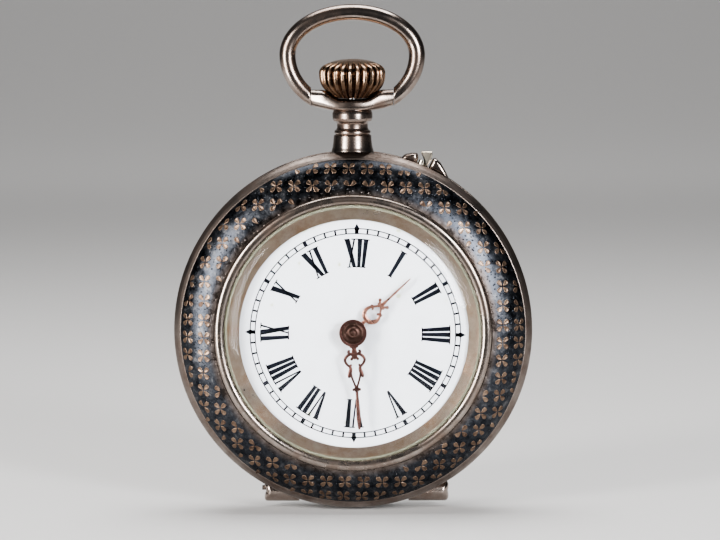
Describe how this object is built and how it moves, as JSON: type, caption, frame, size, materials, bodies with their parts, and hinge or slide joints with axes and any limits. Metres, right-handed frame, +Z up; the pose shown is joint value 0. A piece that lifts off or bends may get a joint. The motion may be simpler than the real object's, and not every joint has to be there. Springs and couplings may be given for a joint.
{
  "type": "pocket watch",
  "caption": "Keyless open-face pocket watch with a round niello case, oval bow, fluted winding crown, pin-set pusher and a roman dial.",
  "frame": {"origin": "the inner top of the bow, where a chain ring hangs", "axes": "+Z up from the case towards the bow, the dial faces -Y, the back faces +Y, +X to the right of the dial as it is read"},
  "size_m": [0.032, 0.0099, 0.0453],
  "materials": {
    "silver": "polished silver, warm tarnish",
    "silver_worn": "worn silver",
    "niello": "black niello over silver with silver quatrefoils",
    "gilt": "rose gilt, matte",
    "rose_gold": "polished rose gold",
    "enamel": "glossy white enamel on copper",
    "glass": "clear mineral glass",
    "nickel": "frosted nickel",
    "steel": "polished steel",
    "blued_steel": "blued steel",
    "brass": "brass",
    "ruby": "polished ruby"
  },
  "bodies": {
    "case": {"case_middle": "silver_worn", "pendant": "silver", "bow_pins": "steel", "pusher_guards": "silver", "hinge_pins": "silver", "case_screws": "steel", "dial": "enamel", "main_plate": "nickel", "barrel_bridge": "nickel", "center_bridge": "nickel", "third_bridge": "nickel", "fourth_bridge": "nickel", "escape_cock": "nickel", "balance_cock": "nickel", "bridge_screws": "blued_steel", "works_screws": "blued_steel", "jewels": "ruby", "click_spring": "steel", "yoke_spring": "steel", "hairspring_stud": "steel", "hairspring": "blued_steel", "cock_cap": "steel"},
    "bow": {"bow": "silver"},
    "bezel": {"bezel": "niello", "crystal": "glass", "dial_ring": "silver"},
    "back": {"back_cover": "niello"},
    "dust": {"dust_cover": "silver_worn"},
    "crown": {"crown": "gilt", "stem": "steel", "winding_pinion": "steel"},
    "clutch": {"clutch_wheel": "steel"},
    "pusher": {"set_pusher": "nickel"},
    "yoke": {"yoke": "steel"},
    "minute": {"minute_hand": "rose_gold", "cannon_pinion": "steel"},
    "hour": {"hour_hand": "rose_gold", "hour_wheel": "brass"},
    "minute_works": {"minute_wheel": "brass"},
    "setting": {"setting_wheel": "steel"},
    "escape": {"escape_wheel": "steel", "escape_pinion": "steel"},
    "fourth": {"fourth_wheel": "brass", "fourth_pinion": "steel"},
    "third": {"third_wheel": "brass", "third_pinion": "steel"},
    "center": {"center_wheel": "brass", "center_pinion": "steel"},
    "barrel": {"barrel": "brass", "barrel_cover": "brass", "mainspring": "blued_steel"},
    "arbor": {"barrel_arbor": "steel", "ratchet_wheel": "steel"},
    "crown_wheel": {"crown_wheel": "steel"},
    "click": {"click": "steel"},
    "balance": {"balance_wheel": "gilt", "balance_staff": "steel", "collet": "brass"},
    "regulator": {"regulator": "steel"}
  },
  "joints": [
    {"name": "bow_swing", "type": "hinge", "parent": "case", "child": "bow", "pos_m": [0, 0, -0.00698], "axis": [1, 0, 0], "range_deg": [-110, 110]},
    {"name": "bezel_pull", "type": "slide", "parent": "case", "child": "bezel", "axis": [0, -1, 0], "range_m": [0, 0.012]},
    {"name": "back_hinge", "type": "hinge", "parent": "case", "child": "back", "pos_m": [0, 0.001, -0.04238], "axis": [-1, 0, 0], "range_deg": [0, 112]},
    {"name": "dust_hinge", "type": "hinge", "parent": "case", "child": "dust", "pos_m": [0, 0.0015, -0.04138], "axis": [-1, 0, 0], "range_deg": [0, 92]},
    {"name": "crown_turn", "type": "hinge", "parent": "case", "child": "crown", "pos_m": [0, 0, -0.00493], "axis": [0, 0, 1], "continuous": true},
    {"name": "clutch_shift", "type": "slide", "parent": "crown", "child": "clutch", "axis": [0, 0, -1], "range_m": [0, 0.0006]},
    {"name": "pusher_press", "type": "slide", "parent": "case", "child": "pusher", "axis": [-0.3827, 0, -0.9239], "range_m": [0, 0.00033], "stiffness_N_per_m": 800},
    {"name": "yoke_turn", "type": "hinge", "parent": "case", "child": "yoke", "pos_m": [0.008, 0, -0.02183], "axis": [0, -1, 0], "range_deg": [0, 6]},
    {"name": "minute_turn", "type": "hinge", "parent": "case", "child": "minute", "pos_m": [0, 0, -0.02783], "axis": [0, 1, 0], "continuous": true},
    {"name": "hour_turn", "type": "hinge", "parent": "case", "child": "hour", "pos_m": [0, 0, -0.02783], "axis": [0, 1, 0], "continuous": true},
    {"name": "minute_wheel_turn", "type": "hinge", "parent": "case", "child": "minute_works", "pos_m": [0, 0, -0.02563], "axis": [0, 1, 0], "continuous": true},
    {"name": "setting_wheel_turn", "type": "hinge", "parent": "case", "child": "setting", "pos_m": [0, 0, -0.02211], "axis": [0, 1, 0], "continuous": true},
    {"name": "escape_turn", "type": "hinge", "parent": "case", "child": "escape", "pos_m": [-0.00271, 0, -0.03279], "axis": [0, 1, 0], "continuous": true},
    {"name": "fourth_turn", "type": "hinge", "parent": "case", "child": "fourth", "pos_m": [-0.0002, 0, -0.03361], "axis": [0, 1, 0], "continuous": true},
    {"name": "third_turn", "type": "hinge", "parent": "case", "child": "third", "pos_m": [0.00153, 0, -0.03109], "axis": [0, 1, 0], "continuous": true},
    {"name": "center_turn", "type": "hinge", "parent": "case", "child": "center", "pos_m": [0, 0, -0.02783], "axis": [0, 1, 0], "continuous": true},
    {"name": "barrel_turn", "type": "hinge", "parent": "case", "child": "barrel", "pos_m": [-0.003, 0, -0.02367], "axis": [0, 1, 0], "continuous": true},
    {"name": "arbor_turn", "type": "hinge", "parent": "case", "child": "arbor", "pos_m": [-0.003, 0, -0.02367], "axis": [0, 1, 0], "continuous": true},
    {"name": "crown_wheel_turn", "type": "hinge", "parent": "case", "child": "crown_wheel", "pos_m": [0.0006, 0, -0.01933], "axis": [0, 1, 0], "continuous": true},
    {"name": "click_lift", "type": "hinge", "parent": "case", "child": "click", "pos_m": [-0.00783, 0, -0.02233], "axis": [0, -1, 0], "range_deg": [0, 8], "stiffness_Nm_per_rad": 0.0001},
    {"name": "balance_swing", "type": "hinge", "parent": "case", "child": "balance", "pos_m": [-0.00451, 0, -0.03234], "axis": [0, 1, 0], "range_deg": [-150, 150], "stiffness_Nm_per_rad": 0.0000006},
    {"name": "regulator_turn", "type": "hinge", "parent": "case", "child": "regulator", "pos_m": [-0.00451, 0, -0.03234], "axis": [0, 1, 0], "range_deg": [-20, 20]}
  ],
  "couplings": [
    {"joint": "dust_hinge", "follows": "back_hinge", "ratio": 0.82143},
    {"joint": "crown_wheel_turn", "follows": "crown_turn", "ratio": -0.94444},
    {"joint": "arbor_turn", "follows": "crown_turn", "ratio": 0.48023},
    {"joint": "yoke_turn", "follows": "pusher_press", "rad_per_m": 196.26},
    {"joint": "clutch_shift", "follows": "pusher_press", "ratio": 1.5112},
    {"joint": "minute_wheel_turn", "follows": "minute_turn", "ratio": -0.33333},
    {"joint": "hour_turn", "follows": "minute_turn", "ratio": 0.083333},
    {"joint": "setting_wheel_turn", "follows": "minute_turn", "ratio": 0.29412},
    {"joint": "fourth_turn", "follows": "escape_turn", "ratio": -0.1},
    {"joint": "third_turn", "follows": "escape_turn", "ratio": 0.013333},
    {"joint": "center_turn", "follows": "escape_turn", "ratio": -0.0016667},
    {"joint": "barrel_turn", "follows": "escape_turn", "ratio": 0.00023148}
  ]
}
